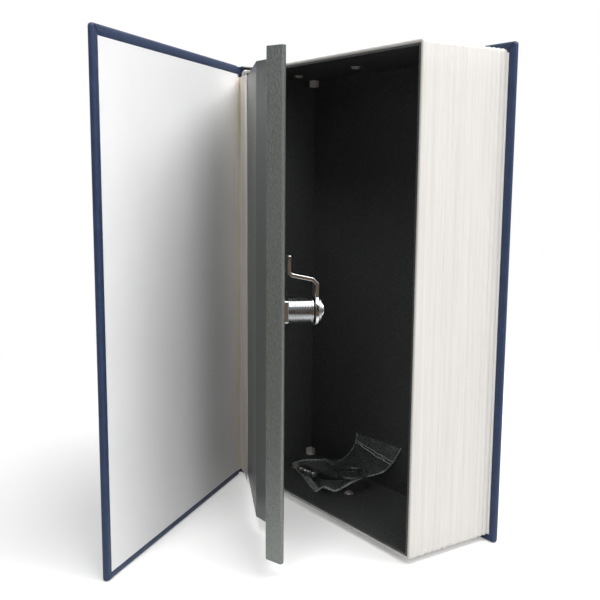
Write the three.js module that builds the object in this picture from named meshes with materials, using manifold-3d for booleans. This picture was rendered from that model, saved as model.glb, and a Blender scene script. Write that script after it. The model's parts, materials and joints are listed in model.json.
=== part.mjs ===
// A book diversion safe: a steel cash box with a lockable door, set in a plastic block moulded
// to look like pages and bound in cloth-covered boards, standing with its cover and door open.
// Millimetres, +Z up. The origin is the middle of the back cover's standing edge.
// +X runs from the spine to the fore-edge, and -Y from the back cover to the front cover.
import * as THREE from "three";
import { mergeVertices } from "three/addons/utils/BufferGeometryUtils.js";
import Module from "manifold-3d";

// Covers
const coverWidth = 148.4;
const coverHeight = 240;
const boardThickness = 2;
const clothThickness = 0.35;
const laminateGap = 0.15; // glue line between the layers of a cover
const turnInWidth = 3.5; // cloth seen beside and below an endpaper
const headTurnIn = 4.7; // cloth seen above an endpaper
const clothEdgeRadius = 0.8;
const foreOverhang = 4.2; // cover beyond the page block at the fore-edge
const endOverhang = 3; // cover beyond the page block at the head and the tail
const coverOpenAngle = 54;
const coverAxisInset = 2.9; // from the front board's hinge edge to its turning axis
const coverAxisDepth = 5.19; // from the shut cover's inner face to its turning axis
const spineBoardThickness = 2;
const spineStart = 1.6; // from the opening plane back to the spine's front edge
const spineGap = 0.3; // glue line between the page block and the spine
const spineCornerRadius = 0.8;
const grooveDepth = 0.9; // French groove along the back joint
const grooveWidth = 4.6;
const edgeClearance = 0.3; // between the edges of neighbouring cloths and papers

// Page block
const pagePastJoint = 5.4; // page block beyond the back cover's hinge edge
const pageDepth = 52;
const pageWall = 2.4; // behind the box
const pageRimWall = 1.6; // at the fore-edge, the head and the tail
const pageSpineWall = 3;
const fluteCount = 13;
const fluteDepth = 0.55;
const fluteSteps = 6;

// Steel box
const boxFit = 0.1;
const boxSheet = 1;
const cornerRelief = 4.8;
const pinHeadRadius = 2.6;
const pinHeadHeight = 1.1;
const pinShankRadius = 1.2;
const pinShankLength = 1.4;
const pinClearance = 0.3;
const pinDepthY = 24.8; // behind the opening plane
const pinNearSpine = 17.5; // from the box's inner spine wall
const pinSpacing = 51;

// Door hinge
const knuckleRadius = 1.8;
const hingePinRadius = 0.8;
const hingeRunningGap = 0.3;
const leafThickness = 0.8;
const leafWidth = 14;
const hingeEndClearance = 10.9; // to the box's head and tail
const knuckleCount = 9;

// Door
const doorEndClearance = 2.3; // to the box's head and tail
const doorFreeClearance = 4.7; // from the free edge to the box's fore-edge wall
const doorSheet = 1;
const doorOpenAngle = 27.5;
const doorProud = 0.8; // shut door in front of the opening plane
const landStart = 3; // from the hinge axis to the door's hinge edge
const recessWidth = 55; // from the land's end to the free edge
const stepRun = 13;
const recessDepth = 7.2;
const flangeBendRadius = 1.2;
const flangeHeadTaper = 0.8;
const flangeTailTaper = 3;
const flangeTaperDepth = 6.4;
const paperThickness = 0.3;
const doorPaperStart = 15;
const doorPaperWidth = 5.6; // flap of the gutter paper that is glued to the door
const coverRest = 0.3; // shut cover in front of the door's paper

// Cam lock
const lockFromFreeEdge = 23.2;
const lockDrop = 0.9; // lock below the middle of the door
const lockHeadRadius = 9;
const lockHeadThickness = 4;
const barrelRadius = 6.2;
const barrelLength = 16.5; // from the head's underside to the cam
const threadPitch = 1.1;
const threadDepth = 0.45;
const seatGap = 0.3;
const plugRadius = 4;
const keywayWidth = 1.5;
const keywayHeight = 6;
const keywayDepth = 4;
const tangWidth = 6;
const nutAcrossFlats = 16.4;
const nutThickness = 3;
const camThickness = 1.8;
const camWidth = 9.4;
const camReach = 24.9;
const camCrankTop = 15.3;
const camCrankBottom = 11.8;
const camBend = 1.5;
const camSetback = 12.6; // from the base plate's near face to the tip's near face
const camBaseRadius = 7.6;
const washerRadius = 5.2;
const washerThickness = 1;
const screwHeadRadius = 3.9;
const screwHeadHeight = 2.2;
const screwShankRadius = 2;
const screwShankLength = 8;

// Strike for the cam
const strikeSheet = 1;
const strikeReach = 7.4;
const strikeLegDepth = 15;
const strikeHeight = 44;
const strikeDoorClearance = 0.9;

// Bag with the spare keys
const keyThickness = 1.8;
const keyHeadThickness = 4.4;
const keyHeadRadius = 8;
const keyBladeWidth = 6;
const keyBladeLength = 18;
const keyGrip = 4;
const keyHoleRadius = 2.4;
const ringRadius = 8.5;
const ringWireRadius = 0.8;
const bagFilm = 0.4;
const bagFromSpine = 14.5; // from the box's inner spine wall to the bag's closed end
const bagBackGap = 1;
const bagFrontGap = 10.5; // behind the opening plane
const bagLength = 63;
const bagHeight = 13;
const keyLift = 1.2; // keys above the bag's lowest film
const keyFromBagEnd = 42; // from the bag's closed end to the first key's head
const keyFromBagFront = 10.8; // from the bag's front to the first key's head
const keyBackwards = [-5.5, 15.6]; // from the first key's head to the second's
const ringFromKey = [6.5, 10]; // from the first key's head to the ring's middle
const bagRest = 0.3; // above the heads of the tail pins, which the bag lies on

const wasm = await Module();
wasm.setup();

// Positions that several pieces share
const coverThickness = boardThickness + 2 * (clothThickness + laminateGap);
const coverOuterY = coverThickness / 2;
const coverInnerY = -coverThickness / 2;
const coverHingeX = -coverWidth / 2;
const coverFreeX = coverWidth / 2;
const pageForeX = coverFreeX - foreOverhang;
const pageSpineX = coverHingeX - pagePastJoint;
const pageBackY = coverInnerY;
const openingY = pageBackY - pageDepth;
const midZ = coverHeight / 2;
const pageZ0 = endOverhang;
const pageZ1 = coverHeight - endOverhang;

const boxForeX = pageForeX - pageRimWall - boxFit;
const boxSpineX = pageSpineX + pageSpineWall + boxFit;
const boxBackY = pageBackY - pageWall - boxFit;
const boxZ0 = pageZ0 + pageRimWall + boxFit;
const boxZ1 = pageZ1 - pageRimWall - boxFit;
const insideForeX = boxForeX - boxSheet;
const insideSpineX = boxSpineX + boxSheet;
const insideBackY = boxBackY - boxSheet;
const insideZ0 = boxZ0 + boxSheet;
const insideZ1 = boxZ1 - boxSheet;

// The door's own frame: origin on the hinge axis, x towards the free edge, y into the box.
const leafSeat = knuckleRadius - hingeRunningGap;
const landInnerY = -knuckleRadius;
const landOuterY = landInnerY - doorSheet;
const panelOuterY = landOuterY + recessDepth;
const panelInnerY = panelOuterY + doorSheet;
const doorAxisX = insideSpineX + knuckleRadius + hingeRunningGap;
const doorAxisY = openingY - doorProud - landOuterY;
const doorWidth = insideForeX - doorFreeClearance - doorAxisX;
const doorZ0 = insideZ0 + doorEndClearance;
const doorZ1 = insideZ1 - doorEndClearance;
const landEnd = doorWidth - recessWidth;
const lockX = doorWidth - lockFromFreeEdge;
const lockZ = midZ - lockDrop;

// The front cover's own frame: origin on its turning axis, x towards the free edge.
const shutInnerY = openingY - doorProud - laminateGap - paperThickness - coverRest;
const coverAxisX = coverHingeX + -coverAxisInset;
const coverAxisY = shutInnerY + coverAxisDepth;

function toSolid(geometry) {
  const plain = geometry.clone();
  plain.deleteAttribute("normal");
  plain.deleteAttribute("uv");
  const merged = mergeVertices(plain, 1e-4);
  const vertProperties = merged.attributes.position.array;
  const triVerts = new Uint32Array(merged.index.array);
  return new wasm.Manifold(new wasm.Mesh({ numProp: 3, vertProperties, triVerts }));
}

function toGeometry(solid) {
  const mesh = solid.getMesh();
  const geometry = new THREE.BufferGeometry();
  geometry.setAttribute("position", new THREE.BufferAttribute(mesh.vertProperties, 3));
  geometry.setIndex(new THREE.BufferAttribute(mesh.triVerts, 1));
  return geometry;
}

function cut(geometry, ...tools) {
  let solid = toSolid(geometry);
  for (const tool of tools) solid = solid.subtract(toSolid(tool));
  return toGeometry(solid);
}

function join(geometry, ...others) {
  let solid = toSolid(geometry);
  for (const other of others) solid = solid.add(toSolid(other));
  return toGeometry(solid);
}

function block(x0, x1, y0, y1, z0, z1) {
  const geometry = new THREE.BoxGeometry(x1 - x0, y1 - y0, z1 - z0);
  return geometry.translate((x0 + x1) / 2, (y0 + y1) / 2, (z0 + z1) / 2);
}

// An outline of [x, y] points drawn up from z0 to z1.
function prismZ(outline, z0, z1) {
  const shape = new THREE.Shape(outline.map(([x, y]) => new THREE.Vector2(x, y)));
  const geometry = new THREE.ExtrudeGeometry(shape, { depth: z1 - z0, bevelEnabled: false });
  return geometry.translate(0, 0, z0);
}

// An outline of [y, z] points drawn along X from x0 to x1.
function prismX(outline, x0, x1) {
  const turn = new THREE.Matrix4().set(0, 0, 1, 0, 1, 0, 0, 0, 0, 1, 0, 0, 0, 0, 0, 1);
  return prismZ(outline, x0, x1).applyMatrix4(turn);
}

function rodY(radius, y0, y1, x = 0, z = 0, sides = 24) {
  const geometry = new THREE.CylinderGeometry(radius, radius, y1 - y0, sides);
  return geometry.translate(x, (y0 + y1) / 2, z);
}

function rodZ(radius, z0, z1, x = 0, y = 0, sides = 16) {
  const geometry = new THREE.CylinderGeometry(radius, radius, z1 - z0, sides);
  return geometry.rotateX(Math.PI / 2).translate(x, y, (z0 + z1) / 2);
}

// Points of an arc about [cx, cy], with angles in degrees.
function arc(cx, cy, radius, from, to, steps) {
  const points = [];
  for (let i = 0; i <= steps; i += 1) {
    const angle = THREE.MathUtils.degToRad(from + ((to - from) * i) / steps);
    points.push([cx + radius * Math.cos(angle), cy + radius * Math.sin(angle)]);
  }
  return points;
}

// The closed outline of bent sheet: the path is one face, and the other lies to its left.
function sheetOutline(path, thickness) {
  const normal = (from, to) => {
    const length = Math.hypot(to[0] - from[0], to[1] - from[1]);
    return [-(to[1] - from[1]) / length, (to[0] - from[0]) / length];
  };
  const last = path.length - 1;
  const far = path.map((point, i) => {
    const before = normal(path[Math.max(i - 1, 0)], path[Math.max(i, 1)]);
    const after = normal(path[Math.min(i, last - 1)], path[Math.min(i + 1, last)]);
    const stretch = thickness / (1 + before[0] * after[0] + before[1] * after[1]);
    const x = point[0] + (before[0] + after[0]) * stretch;
    const y = point[1] + (before[1] + after[1]) * stretch;
    return [x, y];
  });
  return [...path, ...far.reverse()];
}

function roundedRectangle(x0, x1, y0, y1, radius) {
  return [
    ...arc(x1 - radius, y1 - radius, radius, 0, 90, 3),
    ...arc(x0 + radius, y1 - radius, radius, 90, 180, 3),
    ...arc(x0 + radius, y0 + radius, radius, 180, 270, 3),
    ...arc(x1 - radius, y0 + radius, radius, 270, 360, 3),
  ];
}

function addPiece(group, name, geometry, color, roughness, metalness = 0) {
  const material = new THREE.MeshStandardMaterial({ color, roughness, metalness });
  const mesh = new THREE.Mesh(geometry, material);
  mesh.name = name;
  group.add(mesh);
  return mesh;
}

const navy = 0x1f2f52;
const paperWhite = 0xe9e9ea;
const greyboard = 0x8b8376;
const pageCream = 0xf1ede1;
const boxBlack = 0x1c1d1e;
const hammerGrey = 0x5d625f;
const chrome = 0xc9cbcd;
const zinc = 0xb4b7b8;

const book = new THREE.Group();

// A board wrapped in cloth on three edges, with an endpaper let into the turn-ins.
// The inner face is at y = 0 and the cover lies on the side that out (1 or -1) gives.
function addCover(group, prefix, x0, x1, out) {
  const y = (depth) => out * depth;
  const range = (a, b) => [Math.min(y(a), y(b)), Math.max(y(a), y(b))];
  const slab = toSolid(
    prismZ(roundedRectangle(x0, x1, ...range(0, coverThickness), clothEdgeRadius), 0, coverHeight),
  ).intersect(
    toSolid(
      prismX(
        roundedRectangle(...range(0, coverThickness), 0, coverHeight, clothEdgeRadius),
        x0,
        x1,
      ),
    ),
  );
  const skin = clothThickness;
  const past = 5;
  const pocket = block(
    x0 - past,
    x1 - skin,
    ...range(skin, coverThickness - skin),
    skin,
    coverHeight - skin,
  );
  const windowCut = block(
    x0 - past,
    x1 - turnInWidth,
    ...range(-past, coverThickness / 2),
    turnInWidth,
    coverHeight - headTurnIn,
  );
  const cloth = toGeometry(slab.subtract(toSolid(pocket)).subtract(toSolid(windowCut)));
  addPiece(group, `${prefix}_cloth`, cloth, navy, 0.75);
  const inset = skin + laminateGap;
  const board = block(
    x0 + laminateGap,
    x1 - inset,
    ...range(inset, inset + boardThickness),
    inset,
    coverHeight - inset,
  );
  addPiece(group, `${prefix}_board`, board, greyboard, 0.9);
  const edge = turnInWidth + laminateGap;
  const paperHead = coverHeight - headTurnIn - laminateGap;
  const paper = block(x0, x1 - edge, ...range(0, skin), edge, paperHead);
  addPiece(group, `${prefix}_endpaper`, paper, paperWhite, 0.7);
}

const backCover = new THREE.Group();
backCover.position.set(0, coverInnerY, 0);
addCover(backCover, "back", coverHingeX, coverFreeX, 1);
book.add(backCover);

const frontCover = new THREE.Group();
frontCover.position.set(coverAxisX, coverAxisY, 0);
frontCover.rotation.z = THREE.MathUtils.degToRad(-coverOpenAngle);
const frontCoverSlab = new THREE.Group();
frontCoverSlab.position.set(0, -coverAxisDepth, 0);
addCover(frontCoverSlab, "front", coverAxisInset, coverAxisInset + coverWidth, -1);
frontCover.add(frontCoverSlab);
book.add(frontCover);

// Spine: a board behind the page block, and cloth that turns its corner into the back joint.
const spineInnerX = pageSpineX - spineGap;
const spineOuterX = spineInnerX - spineBoardThickness - laminateGap - clothThickness;
const spineFrontY = openingY + spineStart;
const spineBackY = coverOuterY - clothThickness - laminateGap;
addPiece(
  book,
  "spine_board",
  block(
    spineInnerX - spineBoardThickness,
    spineInnerX,
    spineFrontY,
    spineBackY - laminateGap,
    clothThickness,
    coverHeight - clothThickness,
  ),
  greyboard,
  0.9,
);
const jointStartX = coverHingeX - laminateGap;
const grooveMidX = jointStartX - grooveWidth / 2;
const spinePath = [
  [jointStartX, coverOuterY - clothEdgeRadius / 2],
  [grooveMidX + grooveWidth / 5, coverOuterY - grooveDepth],
  [grooveMidX - grooveWidth / 5, coverOuterY - grooveDepth],
  [jointStartX - grooveWidth, coverOuterY],
  ...arc(
    spineOuterX + spineCornerRadius,
    coverOuterY - spineCornerRadius,
    spineCornerRadius,
    90,
    180,
    4,
  ),
  [spineOuterX, spineFrontY],
];
addPiece(
  book,
  "spine_cloth",
  prismZ(sheetOutline(spinePath, clothThickness), 0, coverHeight),
  navy,
  0.75,
);

// The point of a turned group that a point of its own frame lands on.
function placed(group, x, y) {
  group.updateMatrix();
  const point = new THREE.Vector3(x, y, 0).applyMatrix4(group.matrix);
  return [point.x, point.y];
}

// A strip bent along a smooth curve through plan points, drawn from z0 to z1.
function bentStrip(points, thickness, z0, z1, steps = 10) {
  const curve = new THREE.CatmullRomCurve3(points.map(([x, y]) => new THREE.Vector3(x, y, 0)));
  const path = curve.getPoints(steps).map((point) => [point.x, point.y]);
  return prismZ(sheetOutline(path, thickness), z0, z1);
}

// Cloth of the front joint, slack in a shallow loop while the cover stands open.
const jointFromSpine = [spineOuterX, spineFrontY - edgeClearance];
const coverEdgeY = -coverAxisDepth - coverThickness;
const jointToCover = placed(frontCover, coverAxisInset - edgeClearance, coverEdgeY);
const jointLoop = placed(frontCover, coverAxisInset - 2.6, coverEdgeY - 0.4);
const jointNearSpine = [spineOuterX - 0.7, spineFrontY - 1.5];
addPiece(
  book,
  "front_joint_cloth",
  bentStrip(
    [jointToCover, jointLoop, jointNearSpine, jointFromSpine].reverse(),
    clothThickness,
    0,
    coverHeight,
  ),
  navy,
  0.75,
);

// Page block: a plastic tray whose three shown sides are fluted like leaves.
function flutedEdge(from, to, level, inward) {
  const points = [];
  const total = fluteCount * fluteSteps;
  for (let i = 0; i <= total; i += 1) {
    const bulge = Math.abs(Math.sin((Math.PI * i) / fluteSteps));
    points.push([from + ((to - from) * i) / total, level + inward * fluteDepth * (1 - bulge)]);
  }
  return points;
}
const swap = ([a, b]) => [b, a];
const planOutline = [
  [pageSpineX, pageBackY],
  [pageSpineX, openingY],
  ...flutedEdge(openingY, pageBackY, pageForeX, -1).map(swap),
];
const sideOutline = [
  ...flutedEdge(openingY, pageBackY, pageZ0, 1),
  ...flutedEdge(pageBackY, openingY, pageZ1, -1),
];
const past = 2;
const pageSolid = toSolid(prismZ(planOutline, pageZ0 - past, pageZ1 + past)).intersect(
  toSolid(prismX(sideOutline, pageSpineX - past, pageForeX + past)),
);
const pageCavity = block(
  pageSpineX + pageSpineWall,
  pageForeX - pageRimWall,
  openingY - past,
  pageBackY - pageWall,
  pageZ0 + pageRimWall,
  pageZ1 - pageRimWall,
);

// Pins through the head and tail of the box into the page block.
const pinXs = { spine: insideSpineX + pinNearSpine, fore: insideSpineX + pinNearSpine + pinSpacing };
const pinY = openingY + pinDepthY;
const pinHoles = [];
for (const [side, x] of Object.entries(pinXs)) {
  for (const [end, wallZ, up] of [["head", insideZ1, 1], ["tail", insideZ0, -1]]) {
    const between = (a, b) => [Math.min(a, b), Math.max(a, b)];
    const shankEnd = wallZ + up * pinShankLength;
    const shank = rodZ(pinShankRadius, ...between(wallZ - up * 0.5, shankEnd), x, pinY, 12);
    const seat = wallZ - up * boxFit;
    const crown = seat - up * pinHeadHeight;
    const dome = new THREE.CylinderGeometry(
      up > 0 ? pinHeadRadius : pinHeadRadius * 0.6,
      up > 0 ? pinHeadRadius * 0.6 : pinHeadRadius,
      pinHeadHeight,
      16,
    );
    dome.rotateX(Math.PI / 2).translate(x, pinY, (seat + crown) / 2);
    addPiece(book, `box_pin_${end}_${side}`, join(dome, shank), 0xd9d9d6, 0.5);
    pinHoles.push(
      rodZ(
        pinShankRadius + pinClearance,
        ...between(wallZ - up * past, shankEnd + up * pinClearance),
        x,
        pinY,
        12,
      ),
    );
  }
}
addPiece(
  book,
  "page_block",
  cut(toGeometry(pageSolid), pageCavity, ...pinHoles),
  pageCream,
  0.55,
);

// Steel box: five folded panels with the corners relieved at the back.
const boxHollow = block(
  insideSpineX,
  insideForeX,
  openingY - past,
  insideBackY,
  insideZ0,
  insideZ1,
);
const reliefs = [];
for (const x of [boxSpineX, boxForeX]) {
  for (const z of [boxZ0, boxZ1]) {
    reliefs.push(
      block(
        x - cornerRelief,
        x + cornerRelief,
        boxBackY - cornerRelief,
        boxBackY + past,
        z - cornerRelief,
        z + cornerRelief,
      ),
    );
  }
}
addPiece(
  book,
  "safe_box",
  cut(
    block(boxSpineX, boxForeX, openingY, boxBackY, boxZ0, boxZ1),
    boxHollow,
    ...reliefs,
    ...pinHoles,
  ),
  boxBlack,
  0.6,
  0.4,
);

// Strike: an angle on the fore-edge wall, with its lip just behind the shut door.
const strikeLipY = doorAxisY + panelInnerY + strikeDoorClearance;
const strikePath = [
  [insideForeX - boxFit, strikeLipY + strikeLegDepth],
  [insideForeX - boxFit, strikeLipY],
  [insideForeX - boxFit - strikeReach, strikeLipY],
];
addPiece(
  book,
  "strike_bracket",
  prismZ(
    sheetOutline(strikePath.reverse(), strikeSheet),
    lockZ - strikeHeight / 2,
    lockZ + strikeHeight / 2,
  ),
  zinc,
  0.4,
  0.8,
);

// Hinge: two leaves with alternate knuckles on one pin.
const hingeZ0 = insideZ0 + hingeEndClearance;
const hingeLength = insideZ1 - hingeEndClearance - hingeZ0;
const knucklePitch = hingeLength / knuckleCount;
const knuckleGap = hingeRunningGap / 2;
function hingeLeaf(plate, tabAt, odd, axisX, axisY) {
  const pieces = [];
  for (let i = 0; i < knuckleCount; i += 1) {
    if (i % 2 !== odd) continue;
    const z0 = hingeZ0 + i * knucklePitch + knuckleGap;
    const z1 = hingeZ0 + (i + 1) * knucklePitch - knuckleGap;
    pieces.push(rodZ(knuckleRadius, z0, z1, axisX, axisY), tabAt(z0, z1));
  }
  const bore = rodZ(
    hingePinRadius + hingeRunningGap,
    hingeZ0 - past,
    hingeZ0 + hingeLength + past,
    axisX,
    axisY,
  );
  return cut(join(plate, ...pieces), bore);
}
const leafClear = knuckleRadius + hingeRunningGap;
const boxLeafX0 = doorAxisX - leafSeat;
const boxLeaf = hingeLeaf(
  block(
    boxLeafX0,
    boxLeafX0 + leafThickness,
    doorAxisY + leafClear,
    doorAxisY + leafWidth,
    hingeZ0,
    hingeZ0 + hingeLength,
  ),
  (z0, z1) =>
    block(boxLeafX0, boxLeafX0 + leafThickness, doorAxisY, doorAxisY + leafClear + 1, z0, z1),
  0,
  doorAxisX,
  doorAxisY,
);
addPiece(book, "hinge_box_leaf", boxLeaf, zinc, 0.4, 0.8);
addPiece(
  book,
  "hinge_pin",
  rodZ(hingePinRadius, hingeZ0 - 1, hingeZ0 + hingeLength + 1, doorAxisX, doorAxisY, 12),
  zinc,
  0.35,
  0.9,
);

const door = new THREE.Group();
door.position.set(doorAxisX, doorAxisY, 0);
door.rotation.z = THREE.MathUtils.degToRad(-doorOpenAngle);
book.add(door);
const doorLeaf = hingeLeaf(
  block(
    leafClear,
    leafWidth,
    -leafSeat,
    -leafSeat + leafThickness,
    hingeZ0,
    hingeZ0 + hingeLength,
  ),
  (z0, z1) => block(0, leafClear + 1, -leafSeat, -leafSeat + leafThickness, z0, z1),
  1,
  0,
  0,
);
addPiece(door, "hinge_door_leaf", doorLeaf, zinc, 0.4, 0.8);

// Door: a land for the paper, a step down to the lock's recess, and a flange at the free edge.
const flangeInnerX = doorWidth - doorSheet;
const doorPath = [
  [landStart, landOuterY],
  [landEnd, landOuterY],
  [landEnd + stepRun, panelOuterY],
  ...arc(
    flangeInnerX - flangeBendRadius,
    panelOuterY - flangeBendRadius,
    flangeBendRadius,
    90,
    0,
    4,
  ),
  [flangeInnerX, landOuterY],
];
const flangeEnds = [[doorZ1, 1, flangeHeadTaper], [doorZ0, -1, flangeTailTaper]];
const flangeCuts = flangeEnds.map(([z, up, taper]) =>
  prismX(
    [
      [landOuterY - 1, z - up * taper * (1 + 1 / flangeTaperDepth)],
      [landOuterY - 1, z + up],
      [landOuterY + flangeTaperDepth, z + up],
      [landOuterY + flangeTaperDepth, z],
    ],
    flangeInnerX - 0.1,
    doorWidth + 1,
  ),
);
addPiece(
  door,
  "door_panel",
  cut(
    prismZ(sheetOutline(doorPath, doorSheet), doorZ0, doorZ1),
    ...flangeCuts,
    rodY(barrelRadius + seatGap, panelOuterY - past, panelInnerY + past, lockX, lockZ),
  ),
  hammerGrey,
  0.45,
  0.5,
);
const paperBackY = landOuterY - laminateGap;
addPiece(
  door,
  "door_paper",
  block(
    doorPaperStart,
    doorPaperStart + doorPaperWidth,
    paperBackY - paperThickness,
    paperBackY,
    doorZ0,
    doorZ1,
  ),
  paperWhite,
  0.7,
);

// The endpaper's gutter strip, from the cover's inner face to the paper on the door.
const gutterFromCover = placed(frontCover, coverAxisInset - 0.3, -coverAxisDepth + 0.6);
const gutterMid = placed(door, landStart + 0.2, landOuterY - 1.1);
const gutterOnDoor = placed(door, landStart + 6, paperBackY - 0.4);
const gutterToDoor = placed(door, doorPaperStart - edgeClearance, paperBackY);
addPiece(
  book,
  "gutter_paper",
  bentStrip(
    [gutterFromCover, gutterMid, gutterOnDoor, gutterToDoor].reverse(),
    paperThickness,
    turnInWidth + laminateGap,
    coverHeight - headTurnIn - laminateGap,
  ),
  paperWhite,
  0.7,
);

// Cam lock: a threaded body clamped by its nut, and a plug that turns the cranked cam.
const headUnderY = panelOuterY - seatGap;
const headFaceY = headUnderY - lockHeadThickness;
const barrelEndY = headUnderY + barrelLength;
const plugBore = plugRadius + seatGap;
const threads = [];
const nutSeatY = panelInnerY + seatGap;
for (let y = nutSeatY; y + threadPitch < barrelEndY - 0.5; y += threadPitch) {
  threads.push([barrelRadius, y], [barrelRadius - threadDepth, y + threadPitch / 2]);
}
const bodyProfile = [
  [plugBore, headFaceY],
  [lockHeadRadius - 1, headFaceY],
  [lockHeadRadius, headFaceY + 1],
  [lockHeadRadius, headUnderY],
  [barrelRadius, headUnderY],
  ...threads,
  [barrelRadius, barrelEndY - 0.5],
  [barrelRadius - 0.5, barrelEndY],
  [plugBore, barrelEndY],
  [plugBore, headFaceY],
].map(([r, y]) => new THREE.Vector2(r, y));
const lockBody = new THREE.LatheGeometry(bodyProfile, 24);
addPiece(door, "lock_body", lockBody, chrome, 0.15, 1).position.set(lockX, 0, lockZ);

const nutBlank = rodY(nutAcrossFlats / Math.sqrt(3), nutSeatY, nutSeatY + nutThickness, 0, 0, 6);
const nut = cut(nutBlank, rodY(barrelRadius + seatGap, nutSeatY - past, barrelEndY));
addPiece(door, "lock_nut", nut, chrome, 0.2, 1).position.set(lockX, 0, lockZ);

const plugGroup = new THREE.Group();
plugGroup.position.set(lockX, 0, lockZ);
door.add(plugGroup);
const camBaseY = barrelEndY + seatGap;
const camFarY = camBaseY + camThickness;
const plugFaceY = headFaceY + seatGap;
const screwBore = screwShankRadius + seatGap;
const half = tangWidth / 2;
const washerY = camFarY + seatGap;
const screwSeatY = washerY + washerThickness + seatGap;
const plug = cut(
  join(
    rodY(plugRadius, plugFaceY, barrelEndY),
    block(-half, half, barrelEndY - 1, camFarY, -half, half),
  ),
  rodY(screwBore, screwSeatY - screwShankLength - seatGap, camFarY + past, 0, 0, 16),
  block(
    -keywayWidth / 2,
    keywayWidth / 2,
    plugFaceY - past,
    plugFaceY + keywayDepth,
    -keywayHeight / 2,
    keywayHeight / 2,
  ),
);
addPiece(plugGroup, "lock_plug", plug, chrome, 0.2, 1);

const camTipY = camBaseY - camSetback;
const camPath = [
  [camTipY, camReach],
  [camTipY, camCrankTop + camBend],
  [camTipY + camBend, camCrankTop],
  [camBaseY - camBend, camCrankBottom + camBend],
  [camBaseY, camCrankBottom],
  [camBaseY, 0],
];
const tangHole = half + seatGap;
const cam = cut(
  join(
    prismX(sheetOutline(camPath, camThickness), -camWidth / 2, camWidth / 2),
    rodY(camBaseRadius, camBaseY, camFarY),
  ),
  block(-tangHole, tangHole, camBaseY - past, camFarY + past, -tangHole, tangHole),
);
addPiece(plugGroup, "lock_cam", cam, chrome, 0.2, 1);
const washer = cut(
  rodY(washerRadius, washerY, washerY + washerThickness),
  rodY(screwBore, washerY - past, washerY + washerThickness + past, 0, 0, 16),
);
addPiece(plugGroup, "cam_washer", washer, zinc, 0.3, 1);
const screwProfile = [
  [0, screwSeatY - screwShankLength],
  [screwShankRadius, screwSeatY - screwShankLength],
  [screwShankRadius, screwSeatY],
  [screwHeadRadius, screwSeatY],
  [screwHeadRadius, screwSeatY + screwHeadHeight * 0.35],
  [screwHeadRadius * 0.8, screwSeatY + screwHeadHeight * 0.8],
  [screwHeadRadius * 0.4, screwSeatY + screwHeadHeight],
  [0, screwSeatY + screwHeadHeight],
].map(([r, y]) => new THREE.Vector2(r, y));
addPiece(plugGroup, "cam_screw", new THREE.LatheGeometry(screwProfile, 20), chrome, 0.2, 1);

// Spare keys on a ring, in a clear bag on the floor of the box.
const bagFloorZ = insideZ0 + boxFit + pinHeadHeight + bagRest;
const bagX0 = insideSpineX + bagFromSpine;
const bagDepth = insideBackY - bagBackGap - (openingY + bagFrontGap);
const bagY = insideBackY - bagBackGap - bagDepth / 2;
const keyZ = bagFloorZ + bagFilm + keyLift;
function addKey(name, x, y, z, turn) {
  const key = new THREE.Group();
  key.position.set(x, y, z);
  key.rotation.z = THREE.MathUtils.degToRad(turn);
  book.add(key);
  const headSolid = rodZ(keyHeadRadius, 0, keyHeadThickness, 0, 0, 20);
  const slotZ = (keyHeadThickness - keyThickness) / 2;
  const halfBlade = keyBladeWidth / 2;
  const bladeStart = keyHeadRadius - keyGrip;
  const slot = block(
    bladeStart - 0.3,
    keyHeadRadius + 1,
    -halfBlade - 0.3,
    halfBlade + 0.3,
    slotZ - 0.3,
    slotZ + keyThickness + 0.3,
  );
  const hole = rodZ(keyHoleRadius, -1, keyHeadThickness + 1, -keyHeadRadius * 0.45, 0, 12);
  addPiece(key, `${name}_head`, cut(headSolid, slot, hole), 0x17181a, 0.5);
  const notches = [];
  for (let i = 0; i < 4; i += 1) {
    const at = keyHeadRadius + 3.5 + i * 3.5;
    const depth = [0.9, 1.5, 0.7, 1.2][i];
    notches.push(
      prismZ([[at - depth, halfBlade + 0.1], [at, halfBlade - depth], [at + depth, halfBlade + 0.1]],
        slotZ - 1, slotZ + keyThickness + 1),
    );
  }
  const blade = block(
    bladeStart,
    keyHeadRadius + keyBladeLength,
    -halfBlade,
    halfBlade,
    slotZ,
    slotZ + keyThickness,
  );
  addPiece(key, `${name}_blade`, cut(blade, ...notches), chrome, 0.25, 1);
}
const keyX = bagX0 + keyFromBagEnd;
const keyY = openingY + bagFrontGap + keyFromBagFront;
addKey("key_1", keyX, keyY, keyZ, 185);
addKey("key_2", keyX + keyBackwards[0], keyY + keyBackwards[1], keyZ, 170);
const ringShape = arc(0, 0, ringWireRadius, 0, 360, 8).slice(0, -1);
const ringProfile = [...ringShape, ringShape[0]].map(
  ([r, y]) => new THREE.Vector2(ringRadius + r, y),
);
const keyRing = new THREE.LatheGeometry(ringProfile, 28);
keyRing.rotateX(Math.PI / 2);
addPiece(book, "key_ring", keyRing, chrome, 0.2, 1).position.set(
  keyX + ringFromKey[0],
  keyY + ringFromKey[1],
  keyZ + keyHeadThickness + ringWireRadius + 0.5,
);

const bagOuter = [];
const bagInner = [];
for (let i = 0; i < 16; i += 1) {
  const angle = (2 * Math.PI * i) / 16;
  const flat = (value) => Math.sign(value) * Math.abs(value) ** 0.45;
  const y = flat(Math.cos(angle));
  const z = flat(Math.sin(angle));
  const centreZ = bagFloorZ + bagHeight / 2;
  bagOuter.push([bagY + (y * bagDepth) / 2, centreZ + (z * bagHeight) / 2]);
  bagInner.push([
    bagY + y * (bagDepth / 2 - bagFilm),
    centreZ + z * (bagHeight / 2 - bagFilm),
  ]);
}
addPiece(
  book,
  "key_bag",
  cut(
    prismX(bagOuter, bagX0, bagX0 + bagLength),
    prismX(bagInner, bagX0 + bagFilm, bagX0 + bagLength + past),
  ),
  0xdfe3e4,
  0.2,
);

export default book;
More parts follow.
